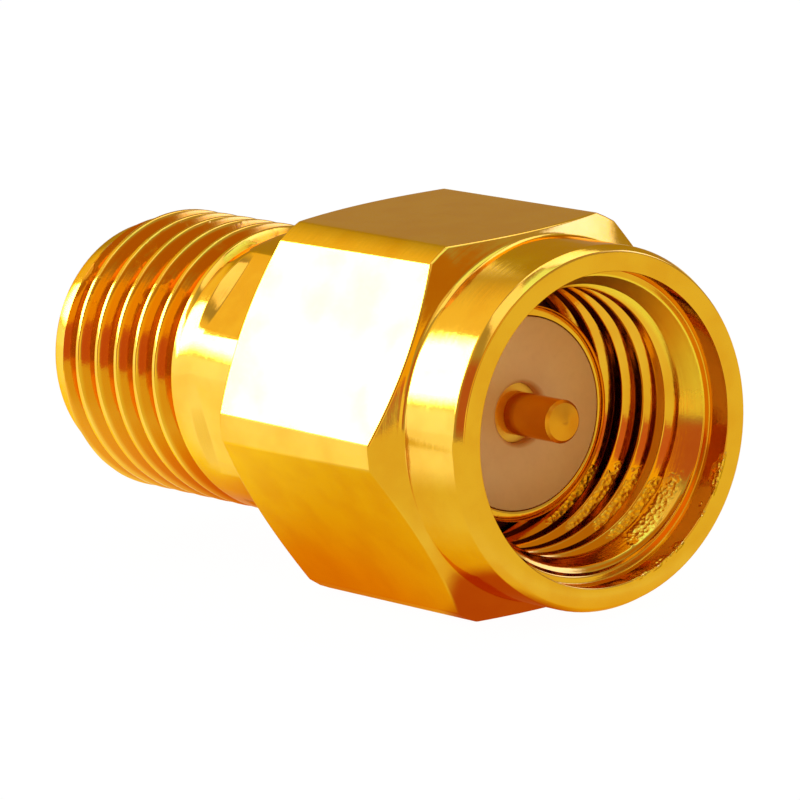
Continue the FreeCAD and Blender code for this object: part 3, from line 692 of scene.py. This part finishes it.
# Studio: a pale floor and an even surround, with soft cards that only show as reflections on the metal
studio = {
    "floor": 0.06, "floorGlow": 0.98, "floorHalf": 1.5, "sheenLift": 1e-5, "surround": 0.46,
    "distance": 0.35, "distanceStep": 0.004, "patchCore": 0.6, "wedgeSoft": 0.08,
    "cards": {
        # azimuth, elevation, half width and half height in degrees, soft edge, colour times brightness
        "key_card": (-141, 25.5, 25, 15.5, 0.5, (14, 18, 34)),
        "horizon_card": (-141, 3, 30, 8, 0.3, (1.3, 1.6, 3.0)),
        "halo_card": (-145, 30, 44, 31, 0.5, (1.0, 0.95, 0.55)),
        "top_card": (-110, 74, 22, 14, 0.3, (1.4, 1.5, 2.5)),
        "rear_card": (125, 60, 30, 14, 0.4, (1.8, 2.2, 6.0)),
        "right_card": (76, 29, 24, 13, 0.4, (1.6, 2.1, 11.0)),
        "zenith_card": (20, 80, 20, 18, 0.3, (1.0, 1.75, 2.5)),
        "glint_card": (-45, 56, 22, 9, 0.3, (0.9, 0.9, 0.9)),
        "ember_card": (-21, 5, 12, 11, 0.3, (0.62, 0.2, 0.2)),
        "gold_card": (-52, 5, 20, 12, 0.3, (1.0, 1.0, 0.6)),
        "amber_card": (-15, 22, 42, 12, 0.4, (0.98, 0.68, 0.03)),
        "brown_card": (4, 42, 40, 10, 0.4, (0.5, 0.26, 0.02)),
        "dark_card": (-82, 22, 14, 24, 0.4, (0.5, 0.17, 0.15)),
    },
    # the floor as the metal sees it, painted darker and warmer from under the axis outwards as a painted
    # shadow, and its patches of painted light and painted shadow: place, reach, colour
    "underside": [(0.05, (0.3, 0.05, 0.01)), (0.22, (0.7, 0.25, 0.01)), (0.38, (0.81, 0.45, 0.02)),
                  (0.5, (0.85, 0.74, 0.2)), (0.7, (0.88, 0.95, 0.7)), (1.0, (0.84, 0.87, 0.45))],
    "undersideReach": (8.0, 4.0),
    "patches": [(-14, -13, 17, (1.2, 1.45, 2.4)), (6.1, -1.5, 1.8, (0.5, 0.13, 0.03))],
    # and its far wedges of painted light and shade: side along X, lowest and highest y over x, where they start
    # and fill, colour
    "wedges": [(1, -0.6, -0.2, 40, 90, (0.62, 0.2, 0.2)), (-1, 0.35, 1.6, 10, 15, (1.2, 1.45, 2.4))],
}


def reflectionOnly(card):
    card.visible_camera = card.visible_diffuse = card.visible_shadow = False
    card.visible_transmission = card.visible_volume_scatter = False
    bpy.context.scene.collection.objects.link(card)


def gridMesh(name, size, finish):
    bm = bmesh.new()
    bmesh.ops.create_grid(bm, x_segments=1, y_segments=1, size=size)
    mesh = bpy.data.meshes.new(name)
    bm.to_mesh(mesh)
    bm.free()
    mesh.materials.append(finish)
    return mesh


def makeCard(name, number, azimuth, elevation, halfWidth, halfHeight, soft, colour):
    glow = Finish(name, Base_Color=(0, 0, 0), Specular_IOR_Level=0.0, Emission_Color=colour,
                  Emission_Strength=1.0)
    across = glow.node("ShaderNodeTexCoord").outputs["Object"]
    parts = glow.node("ShaderNodeSeparateXYZ", {}, {"Vector": across}).outputs
    sides = [Level(glow, part) for part in parts[:2]]
    edges = [1 - side.math("ABSOLUTE", side).rise(1 - soft, 1.0) for side in sides]
    card = bpy.data.objects.new(name, gridMesh(name, 1.0, glow.wear(Alpha=edges[0] * edges[1])))
    turn, rise = math.radians(azimuth), math.radians(elevation)
    away = Vector((math.cos(rise) * math.cos(turn), math.cos(rise) * math.sin(turn), math.sin(rise)))
    distance = studio["distance"] + number * studio["distanceStep"]
    card.location = away * distance + Vector((0, 0, axisHeight))
    card.rotation_euler = away.to_track_quat("Z", "Y").to_euler()
    card.scale = *(distance * math.tan(math.radians(half)) for half in (halfWidth, halfHeight)), 1
    reflectionOnly(card)


def makeStudio():
    pale = Finish("floor_pale", Roughness=0.7, Specular_IOR_Level=0.0, Base_Color=(studio["floor"],) * 3,
                  Emission_Color=(1, 1, 1), Emission_Strength=studio["floorGlow"])
    floor = bpy.data.objects.new("floor", gridMesh("floor", studio["floorHalf"], pale.material))
    bpy.context.scene.collection.objects.link(floor)
    # what the metal sees of the floor: a painted shadow, darker and warmer close under the part, with painted
    # patches and wedges of light and shade
    under = Finish("floor_reflection", Base_Color=(0, 0, 0), Specular_IOR_Level=0.0, Emission_Strength=1.0)
    reachX, reachY = studio["undersideReach"]
    away = ((under.x / reachX) ** 2 + (under.y / reachY) ** 2) ** 0.5
    ramp = under.node("ShaderNodeValToRGB", {"stops": studio["underside"]}, {"Fac": away * 0.5})
    glow = ramp.outputs["Color"]
    for x, y, reach, colour in studio["patches"]:
        fromPatch = ((under.x - x) ** 2 + (under.y - y) ** 2) ** 0.5
        glow = under.mix(1 - fromPatch.rise(reach * studio["patchCore"], reach), glow, colour)
    slope = under.y / under.x
    for side, lowest, highest, start, full, colour in studio["wedges"]:
        share = slope.window(lowest, highest, studio["wedgeSoft"]) * (under.x * side).rise(start, full)
        glow = under.mix(share, glow, colour)
    under.feed(under.shader.inputs["Emission Color"], glow)
    sheenMesh = gridMesh("floor_reflection", studio["floorHalf"], under.material)
    sheen = bpy.data.objects.new("floor_reflection", sheenMesh)
    sheen.location.z = studio["sheenLift"]
    reflectionOnly(sheen)
    for number, (name, values) in enumerate(studio["cards"].items()):
        makeCard(name, number, *values)
    world = bpy.data.worlds.new("surround")
    world.use_nodes = True
    world.node_tree.nodes["Background"].inputs["Color"].default_value = (*(studio["surround"],) * 3, 1)
    bpy.context.scene.world = world
    bpy.context.scene.view_settings.view_transform = "Standard"


makeStudio()
